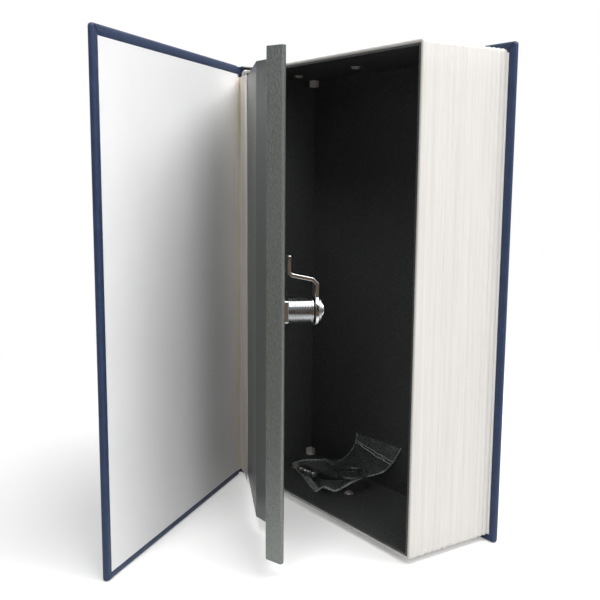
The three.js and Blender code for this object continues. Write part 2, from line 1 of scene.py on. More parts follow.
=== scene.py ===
# %% [markdown]
# # Dressing a book diversion safe
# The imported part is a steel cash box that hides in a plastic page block, bound like a hardback.
# This lesson leaves its solids where they are and gives them the paint, cloth, paper, plastic
# and chrome of the real one. What a plain solid can't show, such as crumpled film or the ribs
# of moulded leaves, is made again as a finer piece on the same spot.

import json
import math

import bmesh
import bpy
import numpy as np
from mathutils import Matrix, Vector, noise


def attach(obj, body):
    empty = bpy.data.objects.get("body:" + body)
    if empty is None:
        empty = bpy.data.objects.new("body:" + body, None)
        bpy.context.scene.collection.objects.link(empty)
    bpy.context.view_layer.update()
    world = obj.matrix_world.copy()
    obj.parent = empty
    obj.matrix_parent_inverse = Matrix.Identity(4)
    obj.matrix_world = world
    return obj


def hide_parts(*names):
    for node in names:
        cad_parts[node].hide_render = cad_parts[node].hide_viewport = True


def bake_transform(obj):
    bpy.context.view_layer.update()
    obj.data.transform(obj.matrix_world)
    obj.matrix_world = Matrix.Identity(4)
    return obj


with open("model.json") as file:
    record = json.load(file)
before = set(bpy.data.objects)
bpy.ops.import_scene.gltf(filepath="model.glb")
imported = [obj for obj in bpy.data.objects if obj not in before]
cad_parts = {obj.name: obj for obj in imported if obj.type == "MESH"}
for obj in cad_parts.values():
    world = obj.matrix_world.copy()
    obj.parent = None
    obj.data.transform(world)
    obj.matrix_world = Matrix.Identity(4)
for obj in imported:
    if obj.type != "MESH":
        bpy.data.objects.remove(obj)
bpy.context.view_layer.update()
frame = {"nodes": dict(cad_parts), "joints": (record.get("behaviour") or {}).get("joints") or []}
cad = frame["nodes"]
mm = 0.001
print("solids loaded:", len(cad))

# %% [markdown]
# The door and the cover stand turned about their hinges, so their details are easier to place
# in frames of their own: x runs from the hinge to the free edge, y into the box, and z up.
# Each frame comes from its joint, whose lower limit is the angle that the leaf stands at.

# %% Find the frames of the door and the cover
joints = {joint["name"]: joint for joint in frame["joints"]}


def leaf_frame(joint_name):
    x, y, _ = joints[joint_name]["pos_m"]
    turn = math.radians(joints[joint_name]["range_deg"][0])
    return Matrix.Translation((x, y, 0)) @ Matrix.Rotation(turn, 4, "Z")


book_frame = Matrix.Identity(4)
door_frame = leaf_frame("door_swing")
cover_frame = leaf_frame("cover_swing")


def span(node, place=book_frame):
    """The lowest and highest corners of a solid, measured in one of these frames."""
    inward = place.inverted()
    corners = np.array([inward @ vertex.co for vertex in cad[node].data.vertices])
    return Vector(corners.min(axis=0)), Vector(corners.max(axis=0))


for leaf in ("door_panel", "front_cloth"):
    low, high = span(leaf, door_frame if leaf == "door_panel" else cover_frame)
    print(leaf, "is", round((high.x - low.x) / mm, 1), "mm wide")

# %% [markdown]
# The camera repeats the photographer's: a little above the middle of the book, close by, with a
# short telephoto lens. Its height and distance set how strongly the covers' edges converge.
# A small lens shift puts the book where it stands in the frame.

# %% Set up the camera
camera_place = Vector((347.44, -309.70, 179.80)) * mm
camera_azimuth = math.radians(55.762)
camera_tilt = math.radians(8.491)
camera_roll = math.radians(0.336)
lens = bpy.data.cameras.new("photographer")
lens.sensor_width = 36
lens.lens = 855.4 / 600 * lens.sensor_width
lens.shift_x = 9.877 / 600
lens.shift_y = 1.662 / 600
lens.clip_start = 0.01
camera = bpy.data.objects.new("photographer", lens)
bpy.context.scene.collection.objects.link(camera)
ahead = Vector(
    (
        -math.sin(camera_azimuth) * math.cos(camera_tilt),
        math.cos(camera_azimuth) * math.cos(camera_tilt),
        -math.sin(camera_tilt),
    )
)
level = Vector((math.cos(camera_azimuth), math.sin(camera_azimuth), 0))
upright = level.cross(ahead)
right = level * math.cos(camera_roll) + upright * math.sin(camera_roll)
above = upright * math.cos(camera_roll) - level * math.sin(camera_roll)
view = Matrix((right, above, -ahead)).transposed().to_4x4()
camera.matrix_world = Matrix.Translation(camera_place) @ view
bpy.context.scene.camera = camera
bpy.context.scene.view_settings.view_transform = "Standard"
print("lens:", round(lens.lens, 1), "mm")

# %% [markdown]
# A finish is a Principled shader fed by a few procedural textures. All of them read the object's
# own coordinates, in metres, so a grain keeps its real size on every piece and needs no
# unwrapping. A few small helpers add a texture, grade it to a colour or a number, work two into
# one, and turn it into relief.


# %% Helpers for finishes
def new_finish(name, colour, roughness, metallic=0.0):
    finish = bpy.data.materials.new(name)
    finish.use_nodes = True
    shader = finish.node_tree.nodes["Principled BSDF"]
    shader.inputs["Base Color"].default_value = (*colour, 1)
    shader.inputs["Roughness"].default_value = roughness
    shader.inputs["Metallic"].default_value = metallic
    finish.diffuse_color = (*colour, 1)
    return finish, shader


def add_node(finish, kind, **settings):
    made = finish.node_tree.nodes.new(kind)
    for name, value in settings.items():
        setattr(made, name, value)
    return made


def join_up(finish, output, socket):
    finish.node_tree.links.new(output, socket)


def object_points(finish, stretch):
    """The object's own coordinates, multiplied along each axis."""
    place = add_node(finish, "ShaderNodeTexCoord")
    scaling = add_node(finish, "ShaderNodeMapping")
    scaling.inputs["Scale"].default_value = stretch
    join_up(finish, place.outputs["Object"], scaling.inputs["Vector"])
    return scaling.outputs["Vector"]


def cloud(finish, per_metre, detail=2.0, stretch=(1, 1, 1), distortion=0.0):
    """Soft random patches, so many to the metre."""
    texture = add_node(finish, "ShaderNodeTexNoise")
    texture.inputs["Scale"].default_value = per_metre
    texture.inputs["Detail"].default_value = detail
    texture.inputs["Distortion"].default_value = distortion
    join_up(finish, object_points(finish, stretch), texture.inputs["Vector"])
    return texture.outputs["Fac"]


def cells(finish, per_metre, feature="F1", stretch=(1, 1, 1), randomness=1.0):
    """Random cells, as distance from their centres or from their edges."""
    texture = add_node(finish, "ShaderNodeTexVoronoi", feature=feature)
    texture.inputs["Scale"].default_value = per_metre
    texture.inputs["Randomness"].default_value = randomness
    join_up(finish, object_points(finish, stretch), texture.inputs["Vector"])
    return texture.outputs["Distance"]


def graded(finish, source, start, end, low=0.35, high=0.65):
    """A texture turned into a run between two colours, or two numbers."""
    ramp = add_node(finish, "ShaderNodeMapRange")
    is_colour = hasattr(start, "__len__")
    ramp.inputs["From Min"].default_value = low
    ramp.inputs["From Max"].default_value = high
    join_up(finish, source, ramp.inputs["Value"])
    if not is_colour:
        ramp.inputs["To Min"].default_value = start
        ramp.inputs["To Max"].default_value = end
        return ramp.outputs["Result"]
    blend = add_node(finish, "ShaderNodeMix", data_type="RGBA")
    factor, first, second, mixed = 0, 6, 7, 2
    blend.inputs[first].default_value = (*start, 1)
    blend.inputs[second].default_value = (*end, 1)
    join_up(finish, ramp.outputs["Result"], blend.inputs[factor])
    return blend.outputs[mixed]


def raise_relief(finish, shader, height, depth):
    """Adds relief of a depth in metres on top of the relief that is there."""
    relief = add_node(finish, "ShaderNodeBump")
    relief.inputs["Distance"].default_value = depth
    join_up(finish, height, relief.inputs["Height"])
    if shader.inputs["Normal"].is_linked:
        join_up(finish, shader.inputs["Normal"].links[0].from_socket, relief.inputs["Normal"])
    join_up(finish, relief.outputs["Normal"], shader.inputs["Normal"])


def crossed(finish, first, second, operation="MULTIPLY"):
    """Two textures worked into one."""
    both = add_node(finish, "ShaderNodeMath", operation=operation)
    join_up(finish, first, both.inputs[0])
    join_up(finish, second, both.inputs[1])
    return both.outputs["Value"]


def wear(*nodes, finish):
    """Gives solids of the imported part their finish."""
    for name in nodes:
        solid = cad[name]
        if not solid.material_slots:
            solid.data.materials.append(finish)
        for slot in solid.material_slots:
            slot.material = finish


# %% [markdown]
# Book cloth is a navy weave, filled and pressed, that goes pale where it catches the light along
# an edge. It could be woven from threads, but at two threads to the millimetre a pebbled relief
# with a fine cross-weave reads the same, and a little sheen gives the filled threads their bloom.


# %% Navy book cloth
def book_cloth():
    finish, shader = new_finish("book_cloth", (0.02, 0.036, 0.085), 0.5)
    patches = cloud(finish, 160, 4)
    colour = graded(finish, patches, (0.017, 0.031, 0.076), (0.023, 0.041, 0.093))
    join_up(finish, colour, shader.inputs["Base Color"])
    join_up(finish, graded(finish, patches, 0.48, 0.56), shader.inputs["Roughness"])
    shader.inputs["Specular IOR Level"].default_value = 0.35
    shader.inputs["Sheen Weight"].default_value = 0.03
    shader.inputs["Sheen Roughness"].default_value = 0.4
    shader.inputs["Sheen Tint"].default_value = (0.6, 0.75, 1.0, 1)
    across = cloud(finish, 900, 1, (1, 1, 2.6))
    along = cloud(finish, 900, 1, (2.6, 2.6, 0.8))
    raise_relief(finish, shader, crossed(finish, across, along), 0.22 * mm)
    raise_relief(finish, shader, cloud(finish, 2600, 1), 0.05 * mm)
    return finish


navy_cloth = book_cloth()

# %% [markdown]
# The endpapers are smooth white stock with hardly any tooth. A trace of cloudiness keeps a large
# plain sheet from looking like a screen, and a shallow swell makes it lie as glued paper does.


# %% White endpaper
def endpaper():
    finish, shader = new_finish("endpaper", (0.86, 0.86, 0.865), 0.62)
    tone = cloud(finish, 26, 5)
    colour = graded(finish, tone, (0.8, 0.8, 0.805), (0.83, 0.83, 0.835))
    join_up(finish, colour, shader.inputs["Base Color"])
    shader.inputs["Specular IOR Level"].default_value = 0.35
    raise_relief(finish, shader, cloud(finish, 34, 1), 0.12 * mm)
    raise_relief(finish, shader, cloud(finish, 2200, 2), 0.012 * mm)
    return finish


white_paper = endpaper()

# %% [markdown]
# Greyboard is pulped paper, speckled and soft, and shows only where a board's edge is open.


# %% Greyboard
def greyboard():
    finish, shader = new_finish("greyboard", (0.24, 0.21, 0.17), 0.9)
    fibres = cloud(finish, 1500, 4, (1, 1, 0.3))
    colour = graded(finish, fibres, (0.17, 0.15, 0.12), (0.3, 0.27, 0.23))
    join_up(finish, colour, shader.inputs["Base Color"])
    raise_relief(finish, shader, fibres, 0.05 * mm)
    return finish


board_core = greyboard()

# %% [markdown]
# The page block is moulded in cream plastic. Faint lines run along its ribs like the edges of
# leaves, so the texture is stretched hard along the ribs and packed tight across them.


# %% Cream page plastic
def page_plastic():
    finish, shader = new_finish("page_plastic", (0.74, 0.71, 0.66), 0.46)
    leaves = cloud(finish, 1.0, 3, (90, 700, 14))
    colour = graded(finish, leaves, (0.62, 0.598, 0.57), (0.662, 0.645, 0.619))
    join_up(finish, colour, shader.inputs["Base Color"])
    join_up(finish, graded(finish, leaves, 0.38, 0.52), shader.inputs["Roughness"])
    shader.inputs["Specular IOR Level"].default_value = 0.4
    raise_relief(finish, shader, leaves, 0.07 * mm)
    return finish


cream_plastic = page_plastic()

# %% [markdown]
# The box is powder coated in black that crackles into a fine leathery net as it bakes. The net is
# the distance to the edges of random cells, and its low places are a little duller.


# %% Black crackle paint
def crackle_paint():
    finish, shader = new_finish("crackle_paint", (0.046, 0.048, 0.047), 0.42)
    net = cells(finish, 620, "DISTANCE_TO_EDGE")
    grain = cloud(finish, 1500, 2)
    colour = graded(finish, net, (0.043, 0.046, 0.045), (0.067, 0.07, 0.069), 0.0, 0.4)
    join_up(finish, colour, shader.inputs["Base Color"])
    join_up(finish, graded(finish, net, 0.6, 0.36, 0.0, 0.4), shader.inputs["Roughness"])
    raise_relief(finish, shader, graded(finish, net, 0.0, 1.0, 0.0, 0.3), 0.1 * mm)
    raise_relief(finish, shader, grain, 0.05 * mm)
    return finish


black_crackle = crackle_paint()

# %% [markdown]
# The door wears hammer paint, a grey with metal flake that draws into dimples longer than they
# are wide. It has a satin gloss, so it takes on a little of the floor at a glancing angle.


# %% Grey hammer paint
def hammer_paint():
    finish, shader = new_finish("hammer_paint", (0.13, 0.138, 0.132), 0.32, 0.6)
    dimples = cells(finish, 1300, "SMOOTH_F1", (1, 1, 0.5))
    strain = cloud(finish, 2600, 3, (1, 1, 0.3), 0.4)
    colour = graded(finish, strain, (0.12, 0.132, 0.127), (0.205, 0.222, 0.212), 0.25, 0.75)
    join_up(finish, colour, shader.inputs["Base Color"])
    join_up(finish, graded(finish, strain, 0.3, 0.42), shader.inputs["Roughness"])
    raise_relief(finish, shader, dimples, 0.1 * mm)
    raise_relief(finish, shader, strain, 0.05 * mm)
    return finish


grey_hammer = hammer_paint()

# %% [markdown]
# The lock is polished chrome over brass, the hinge and the strike are dull zinc, and the keys are
# nickel. All are plain metals that differ in how sharp their reflections are, with the fine
# scratches and smears that handling leaves.


# %% Chrome, nickel and zinc
def bright_metal(name, colour, roughness, brushing):
    finish, shader = new_finish(name, colour, roughness, 1.0)
    smears = cloud(finish, 240, 3)
    spread = graded(finish, smears, roughness * 0.7, roughness * 1.5)
    join_up(finish, spread, shader.inputs["Roughness"])
    scratches = cloud(finish, 1.0, 2, (3000, 3000, 300))
    raise_relief(finish, shader, scratches, brushing)
    return finish


chrome = bright_metal("lock_chrome", (0.62, 0.63, 0.64), 0.09, 0.004 * mm)
nickel = bright_metal("key_nickel", (0.72, 0.71, 0.68), 0.16, 0.006 * mm)
zinc = bright_metal("zinc_plate", (0.58, 0.59, 0.6), 0.34, 0.012 * mm)

# %% [markdown]
# The pins that hold the box in the page block are plain plastic rivets, coloured grey as painted
# shade of the box's inside, and the keys have grained black plastic heads.


# %% Pin and key plastics
def moulded_plastic(name, dark, light, roughness, grain_depth):
    finish, shader = new_finish(name, light, roughness)
    grain = cloud(finish, 1900, 2)
    join_up(finish, graded(finish, grain, dark, light), shader.inputs["Base Color"])
    raise_relief(finish, shader, grain, grain_depth)
    return finish


# The pins' grey is painted shade of the box's inside on white plastic.
pin_painted_shade = (0.3, 0.275, 0.255), (0.38, 0.355, 0.33)
key_shades = (0.008, 0.008, 0.01), (0.02, 0.02, 0.023)
pin_plastic = moulded_plastic("pin_plastic", *pin_painted_shade, 0.35, 0.01 * mm)
key_black = moulded_plastic("key_plastic", *key_shades, 0.4, 0.04 * mm)

# %% Dress the solids that keep their own shape
wear("back_endpaper", "front_endpaper", "door_paper", finish=white_paper)
wear("back_board", "front_board", "spine_board", finish=board_core)
wear("lock_plug", finish=chrome)
wear("hinge_box_leaf", "hinge_pin", "hinge_door_leaf", finish=zinc)
wear(*[name for name in cad if name.startswith("box_pin")], finish=pin_plastic)
wear("key_ring", finish=nickel)

# %% [markdown]
# A moulded or folded part never has a knife edge, and it is the small rounded edge that catches
# the light. Most of the metal parts already have the right shape, so each gets a copy of its
# solid with the flat faces merged and the sharp edges rolled over by a few tenths of a
# millimetre. The copy stands in for the solid, which stays underneath for collisions.


# %% Roll the edges of the metal parts
def new_object(name, shape, finish):
    """A piece in the scene, with its finish, from a mesh in metres."""
    shape.materials.clear()
    shape.materials.append(finish)
    piece = bpy.data.objects.new(name, shape)
    bpy.context.scene.collection.objects.link(piece)
    return piece


def roll_edges(node, body, finish, width, steps=3, sharp=30):
    """A copy of a solid with its sharp edges rounded, in the solid's place."""
    shape = cad[node].data.copy()
    skin = bmesh.new()
    skin.from_mesh(shape)
    bmesh.ops.remove_doubles(skin, verts=skin.verts, dist=0.005 * mm)
    flat = math.radians(2)
    bmesh.ops.dissolve_limit(skin, angle_limit=flat, verts=skin.verts, edges=skin.edges)
    corner = math.radians(sharp)
    edges = [
        edge for edge in skin.edges if edge.is_manifold and edge.calc_face_angle() > corner
    ]
    bmesh.ops.bevel(
        skin,
        geom=edges,
        offset=width * mm,
        segments=steps,
        profile=0.5,
        affect="EDGES",
        clamp_overlap=True,
    )
    bmesh.ops.recalc_face_normals(skin, faces=skin.faces)
    skin.to_mesh(shape)
    skin.free()
    shape.shade_smooth()
    piece = new_object(f"{node}_eased", shape, finish)
    evening = piece.modifiers.new("even_shading", "WEIGHTED_NORMAL")
    evening.keep_sharp = True
    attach(piece, body)
    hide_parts(node)
    return piece


eased = [
    roll_edges("door_panel", "door", grey_hammer, 0.32),
    roll_edges("safe_box", "case", black_crackle, 0.12),
    roll_edges("lock_nut", "door", chrome, 0.5),
    roll_edges("lock_cam", "lock_core", chrome, 0.45),
    roll_edges("cam_washer", "lock_core", zinc, 0.2),
    roll_edges("strike_bracket", "case", zinc, 0.25),
    roll_edges("key_1_head", "case", key_black, 0.7),
    roll_edges("key_2_head", "case", key_black, 0.7),
    roll_edges("key_1_blade", "case", nickel, 0.2),
    roll_edges("key_2_blade", "case", nickel, 0.2),
]
print("parts with rolled edges:", len(eased))

# %% [markdown]
# The other pieces are skins drawn over rings of points, in millimetres. A helper lays the points
# in one of the frames and sets the normals, and another makes the rings: here they are upright
# rectangles with rounded corners, because a book is mostly made of those.


# %% Helpers for skins over rings
def new_piece(name, points, faces, finish, place=book_frame, sharp=40):
    """A smooth piece from points in millimetres, measured in one of the frames."""
    shape = bpy.data.meshes.new(name)
    shape.from_pydata([place @ (Vector(point) * mm) for point in points], [], faces)
    skin = bmesh.new()
    skin.from_mesh(shape)
    bmesh.ops.remove_doubles(skin, verts=skin.verts, dist=0.002 * mm)
    bmesh.ops.recalc_face_normals(skin, faces=skin.faces)
    skin.to_mesh(shape)
    skin.free()
    shape.shade_smooth()
    shape.set_sharp_from_angle(angle=math.radians(sharp))
    return new_object(name, shape, finish)


def skin_over(rings, closed=True, capped=True):
    """Points and faces of a skin drawn over rings of equally many points."""
    count = len(rings[0])
    points = [point for ring in rings for point in ring]
    faces = []
    for row in range(len(rings) - 1):
        for step in range(count if closed else count - 1):
            here = row * count + step
            beside = row * count + (step + 1) % count
            faces.append((here, beside, beside + count, here + count))
    if capped:
        last = (len(rings) - 1) * count
        faces.append(tuple(range(count)))
        faces.append(tuple(range(last, last + count)))
    return points, faces


def upright_ring(x0, x1, z0, z1, depth, radius, side_steps=(10, 16), corner_steps=5):
    """Points round an upright rectangle with rounded corners, at one depth y."""
    corners = [(x1, z1, 0), (x0, z1, 90), (x0, z0, 180), (x1, z0, 270)]
    arcs = []
    for x, z, start in corners:
        centre_x = x - radius if x == x1 else x + radius
        centre_z = z - radius if z == z1 else z + radius
        angles = [math.radians(start + 90 * k / corner_steps) for k in range(corner_steps + 1)]
        arcs.append(
            [
                (centre_x + radius * math.cos(angle), depth, centre_z + radius * math.sin(angle))
                for angle in angles
            ]
        )
    ring = []
    for number, bend in enumerate(arcs):
        following = arcs[(number + 1) % 4][0]
        ring.extend(bend)
        steps = side_steps[number % 2]
        for k in range(1, steps):
            share = k / steps
            ring.append(tuple(a + (b - a) * share for a, b in zip(bend[-1], following)))
    return ring


def in_mm(node, place=book_frame):
    """The lowest and highest corners of a solid in millimetres, in one of the frames."""
    low, high = span(node, place)
    return low / mm, high / mm


print("ring of", len(upright_ring(0, 10, 0, 10, 0, 1)), "points")

# %% [markdown]
# The page block is one moulding, ribbed on its three shown sides like a stack of leaves that has
# been thumbed. Ribs of one width would look like corrugated sheet, so their widths come from a
# seeded draw, wide at the front and narrow towards the back, and each rib wanders a little along
# its length. The rim round the box is rolled over, and the corners are soft.

# %% Mould the page block
block_low, block_high = in_mm("page_block")
leaf_draw = np.random.default_rng(7)
back_wall = 2.4
rim_wall = 1.6
spine_wall = 3.0
rim_roll = 0.7
block_corner = 1.6
rib_count = 14
rib_widths = leaf_draw.uniform(2.4, 4.8, rib_count)
rib_widths[:2] = (5.6, 5.0)
rib_widths *= (block_high.y - block_low.y - rim_roll) / rib_widths.sum()
rib_depths = leaf_draw.uniform(0.24, 0.55, rib_count)


def leaf_ring(inset, depth, spine_inset=0.0, wander=0.0):
    ring = upright_ring(
        block_low.x + spine_inset,
        block_high.x - inset,
        block_low.z + inset,
        block_high.z - inset,
        depth,
        max(block_corner - inset * 0.5, 0.4),
        side_steps=(12, 20),
    )
    wandered = []
    for x, y, z in ring:
        sway = noise.noise(Vector((x * 0.021, depth * 0.35, z * 0.021)))
        wandered.append((x, y + sway * wander, z))
    return wandered


leaf_rings = [leaf_ring(0.3, block_high.y)]
depth = block_high.y
for width, rib_depth in zip(rib_widths[::-1], rib_depths[::-1]):
    for step in range(1, 9):
        swell = 0.5 - 0.5 * math.cos(2 * math.pi * step / 8)
        at = depth - width * step / 8
        near_end = min(1.0, (block_high.y - at) / 3, (at - block_low.y) / 3)
        leaf_rings.append(leaf_ring(rib_depth * (1 - swell), at, wander=0.5 * near_end))
    depth -= width
for step in range(1, 6):
    angle = math.pi / 2 * step / 5
    inset = rim_roll * (1 - math.cos(angle))
    leaf_rings.append(leaf_ring(inset, depth - rim_roll * math.sin(angle), inset))
leaf_rings.append(leaf_ring(rim_wall - 0.2, block_low.y, spine_wall - 0.2))
leaf_rings.append(leaf_ring(rim_wall, block_low.y + 0.2, spine_wall))
leaf_rings.append(leaf_ring(rim_wall, block_high.y - back_wall, spine_wall))
page_leaves = new_piece("page_leaves", *skin_over(leaf_rings), cream_plastic, sharp=50)
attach(page_leaves, "case")
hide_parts("page_block")
print("ribs:", rib_count, "widest", round(rib_widths.max(), 1), "mm")

# %% [markdown]
# Each cover is a board wrapped in cloth, which rolls softly over the board's edges and is turned
# in round the endpaper. It could be a box with a bevel, but the turn-in is a step down to the
# paper, so the cover is drawn as rings from the middle of the outside, over the edge, and across
# the turn-in to the paper's bed. The tucks at the corners are cut on the slant, as a binder does.


# %% Wrap the covers in cloth
edge_roll = 1.35
turn_in = 3.5
head_turn_in = 4.7
paper_bed = 0.42
board_corner = 1.6


def wrapped_cover(name, body, node, place, paper_side):
    low, high = in_mm(node, place)
    thick = high.y - low.y
    inner = low.y if paper_side < 0 else high.y
    outward = -paper_side

    def ring(inset, depth, hinge_inset=None, head_inset=None):
        return upright_ring(
            low.x + (inset if hinge_inset is None else hinge_inset),
            high.x - inset,
            low.z + inset,
            high.z - (inset if head_inset is None else head_inset),
            inner + outward * depth,
            max(board_corner - inset, 0.25),
            side_steps=(12, 18),
        )

    rings = [ring(40, thick - 0.02), ring(12, thick - 0.01), ring(edge_roll, thick)]
    for step in range(1, 6):
        angle = math.pi / 2 * step / 5
        away = edge_roll * (1 - math.sin(angle))
        rings.append(ring(away, thick - edge_roll * (1 - math.cos(angle))))
    for step in range(0, 6):
        angle = math.pi / 2 * step / 5
        away = edge_roll * (1 - math.cos(angle))
        rings.append(ring(away, edge_roll * (1 - math.sin(angle))))
    rings.append(ring(turn_in - 0.25, 0.0, 0.3, head_turn_in - 0.25))
    rings.append(ring(turn_in, 0.1, 0.15, head_turn_in))
    rings.append(ring(turn_in, paper_bed, 0.1, head_turn_in))
    cover = new_piece(name, *skin_over(rings), navy_cloth, place)
    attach(cover, body)
    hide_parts(node)
    return cover, low, high, inner, outward


def corner_tucks(name, body, place, low, high, inner, outward):
    """The slanted laps of the turn-in at the two corners of the fore-edge."""
    points, faces = [], []
    lap = 0.16
    for z, up in ((low.z, 1), (high.z, -1)):
        inside = turn_in - 0.3
        corner = [(0.9, 0.7), (turn_in - 0.1, inside), (turn_in + 4.5, inside), (4.5, 0.8)]
        start = len(points)
        for depth in (0.05, -lap):
            for back, rise in corner:
                shrink = 0.12 if depth < 0 else 0.0
                height = z + up * (rise + shrink * 0.5)
                points.append((high.x - back - shrink, inner + outward * depth, height))
        base = [start + k for k in range(8)]
        faces += [tuple(base[:4]), tuple(base[4:])]
        for k in range(4):
            after = (k + 1) % 4
            faces.append((base[k], base[after], base[4 + after], base[4 + k]))
    tucks = new_piece(name, points, faces, navy_cloth, place, sharp=60)
    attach(tucks, body)


back_cover = wrapped_cover("back_cover_cloth", "case", "back_cloth", book_frame, -1)
front_cover = wrapped_cover("front_cover_cloth", "front_cover", "front_cloth", cover_frame, 1)
corner_tucks("back_cover_tucks", "case", book_frame, *back_cover[1:])
corner_tucks("front_cover_tucks", "front_cover", cover_frame, *front_cover[1:])
print("cover is", round(back_cover[2].y - back_cover[1].y, 2), "mm thick")

# %% [markdown]
# The spine is a board under the same cloth. The cloth dips into a groove beside the back cover,
# so that the cover can hinge there, turns the corner, and runs forward to the opening. At the
# head and the tail it is folded over the board's end, which shows as a thin rolled cap. A white
# lining is glued inside.


# %% Wrap the spine
def through(a, b, c, d, t):
    """A point at a share t of the way from b to c, on a smooth curve that comes from a to d."""
    bend = (2 * a - 5 * b + 4 * c - d) * t * t + (3 * b - a - 3 * c + d) * t * t * t
    return 0.5 * (2 * b + (c - a) * t + bend)


def along(points, steps):
    """A smooth curve through plan points, as evenly spaced plan points."""
    padded = [points[0], *points, points[-1]]
    raw = []
    for k in range(len(points) - 1):
        a, b, c, d = (Vector(padded[k + j]) for j in range(4))
        raw.extend(through(a, b, c, d, step / 24) for step in range(24))
    raw.append(Vector(points[-1]))
    travelled = [0.0]
    for before, after in zip(raw, raw[1:]):
        travelled.append(travelled[-1] + (after - before).length)
    wanted = np.linspace(0, travelled[-1], steps)
    xs = np.interp(wanted, travelled, [point.x for point in raw])
    ys = np.interp(wanted, travelled, [point.y for point in raw])
    return list(zip(xs, ys))


def strip_ring(path, z, thickness, taper=0.0):
    """A closed ring round a bent strip: the path is one face, and the other lies to its left."""
    shown, hidden = [], []
    for k, (x, y) in enumerate(path):
        before, after = Vector(path[max(k - 1, 0)]), Vector(path[min(k + 1, len(path) - 1)])
        run = (after - before).normalized()
        end = min(k, len(path) - 1 - k)
        here = thickness * (1.0 if end >= 3 else 1 - taper * (3 - end) / 3)
        shown.append((x, y, z))
        hidden.append((x - run.y * here, y + run.x * here, z))
    return shown + hidden[::-1]


cloth_thickness = 0.35
spine_low, spine_high = in_mm("spine_cloth")
board_low, board_high = in_mm("spine_board")
groove_depth = 0.9
groove_end = spine_high.x
cover_back = in_mm("back_cloth")[1].y
spine_path = along(
    [
        (groove_end, cover_back - 0.5),
        (groove_end - 0.6, cover_back - groove_depth * 0.85),
        (groove_end - 2.2, cover_back - groove_depth),
        (groove_end - 3.8, cover_back - groove_depth * 0.4),
        (groove_end - 5.2, cover_back),
        (spine_low.x + 1.3, cover_back - 0.05),
        (spine_low.x + 0.4, cover_back - 0.5),
        (spine_low.x, cover_back - 1.6),
        (spine_low.x, -12),
        (spine_low.x, -25),
        (spine_low.x, -38),
        (spine_low.x, spine_low.y),
    ],
    90,
)
spine_rings = []
for row in range(33):
    z = 0.3 + (spine_high.z - 0.6) * row / 32
    spine_rings.append(strip_ring(spine_path, z, cloth_thickness))
spine_wrap = new_piece("spine_wrap", *skin_over(spine_rings), navy_cloth)
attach(spine_wrap, "case")
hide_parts("spine_cloth")


def rolled_cap(name, z, up):
    """The cloth folded over one end of the spine board."""
    rings = []
    for y in np.linspace(board_low.y - 0.2, cover_back - 0.3, 14):
        middle = (spine_low.x + board_high.x) / 2
        half = (board_high.x - spine_low.x) / 2
        ring = []
        for k in range(13):
            angle = math.pi * k / 12
            ring.append((middle + half * math.cos(angle), y, z - up * 0.75 * (1 - math.sin(angle))))
        ring += [(spine_low.x + 0.02, y, z - up * 3.4), (board_high.x, y, z - up * 3.4)]
        rings.append(ring)
    cap = new_piece(name, *skin_over(rings), navy_cloth)
    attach(cap, "case")


rolled_cap("spine_head_cap", spine_high.z, 1)
rolled_cap("spine_tail_cap", spine_low.z, -1)
lining_ends = (2.0, 238.0)
lining_sides = (0.5, 48.9)
lining_rings = []
for x in (board_high.x - 0.02, board_high.x + 0.13):
    ring = upright_ring(*lining_sides, *lining_ends, 0, 0.6, side_steps=(6, 12))
    lining_rings.append([(x, board_low.y + forward, z) for forward, _, z in ring])
spine_lining = new_piece("spine_lining", *skin_over(lining_rings), white_paper)
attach(spine_lining, "case")
print("spine wrap is", round(spine_high.z - spine_low.z), "mm tall")

# %% [markdown]
# At the front joint one strip of cloth bridges from the spine to the cover, and outside the boards
# nothing stiffens it. It has to reach round the joint when the book is shut, so with the cover
# open it lies in a slack loop with a few soft ripples. It is built in the book's frame and is
# fixed to neither the case nor the cover.


# %% Bridge the front joint with cloth
def plan(place, x, y):
    """A plan point of a leaf's own frame, in the book's millimetres."""
    point = place @ Vector((x * mm, y * mm, 0))
    return point.x / mm, point.y / mm


def blended_strip(name, path, thickness, z0, z1, finish, ripple=0.0, taper=0.0):
    """A strip of cloth or paper between two bodies, built in the book's frame and fixed to neither.
    """
    rings = []
    for row in range(41):
        z = z0 + (z1 - z0) * row / 40
        waved = []
        for k, (x, y) in enumerate(path):
            loose = math.sin(math.pi * k / (len(path) - 1)) ** 2
            wave = noise.noise(Vector((x * 0.12, y * 0.12, z * 0.045))) * ripple * loose
            before, after = path[max(k - 1, 0)], path[min(k + 1, len(path) - 1)]
            run = (Vector(after) - Vector(before)).normalized()
            waved.append((x - run.y * wave, y + run.x * wave))
        rings.append(strip_ring(waved, z, thickness, taper))
    strip = new_piece(name, *skin_over(rings), finish)
    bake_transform(strip)
    return strip


cloth_low, cloth_high = in_mm("front_cloth", cover_frame)
joint_path = along(
    [
        (spine_low.x - 0.03, spine_low.y + 2.4),
        (spine_low.x - 0.06, spine_low.y + 0.6),
        (spine_low.x - 0.55, spine_low.y - 0.9),
        (spine_low.x - 1.15, spine_low.y - 2.6),
        plan(cover_frame, cloth_low.x - 1.9, cloth_low.y - 0.75),
        plan(cover_frame, cloth_low.x + 0.4, cloth_low.y - 0.3),
        plan(cover_frame, cloth_low.x + 3.2, cloth_low.y - 0.06),
        plan(cover_frame, cloth_low.x + 6.0, cloth_low.y - 0.02),
    ],
    44,
)
joint_cloth = blended_strip(
    "joint_cloth",
    joint_path,
    cloth_thickness,
    0.2,
    cloth_high.z - 0.2,
    navy_cloth,
    ripple=0.5,
    taper=0.8,
)
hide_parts("front_joint_cloth")
print("joint cloth has", len(joint_cloth.data.vertices), "points")
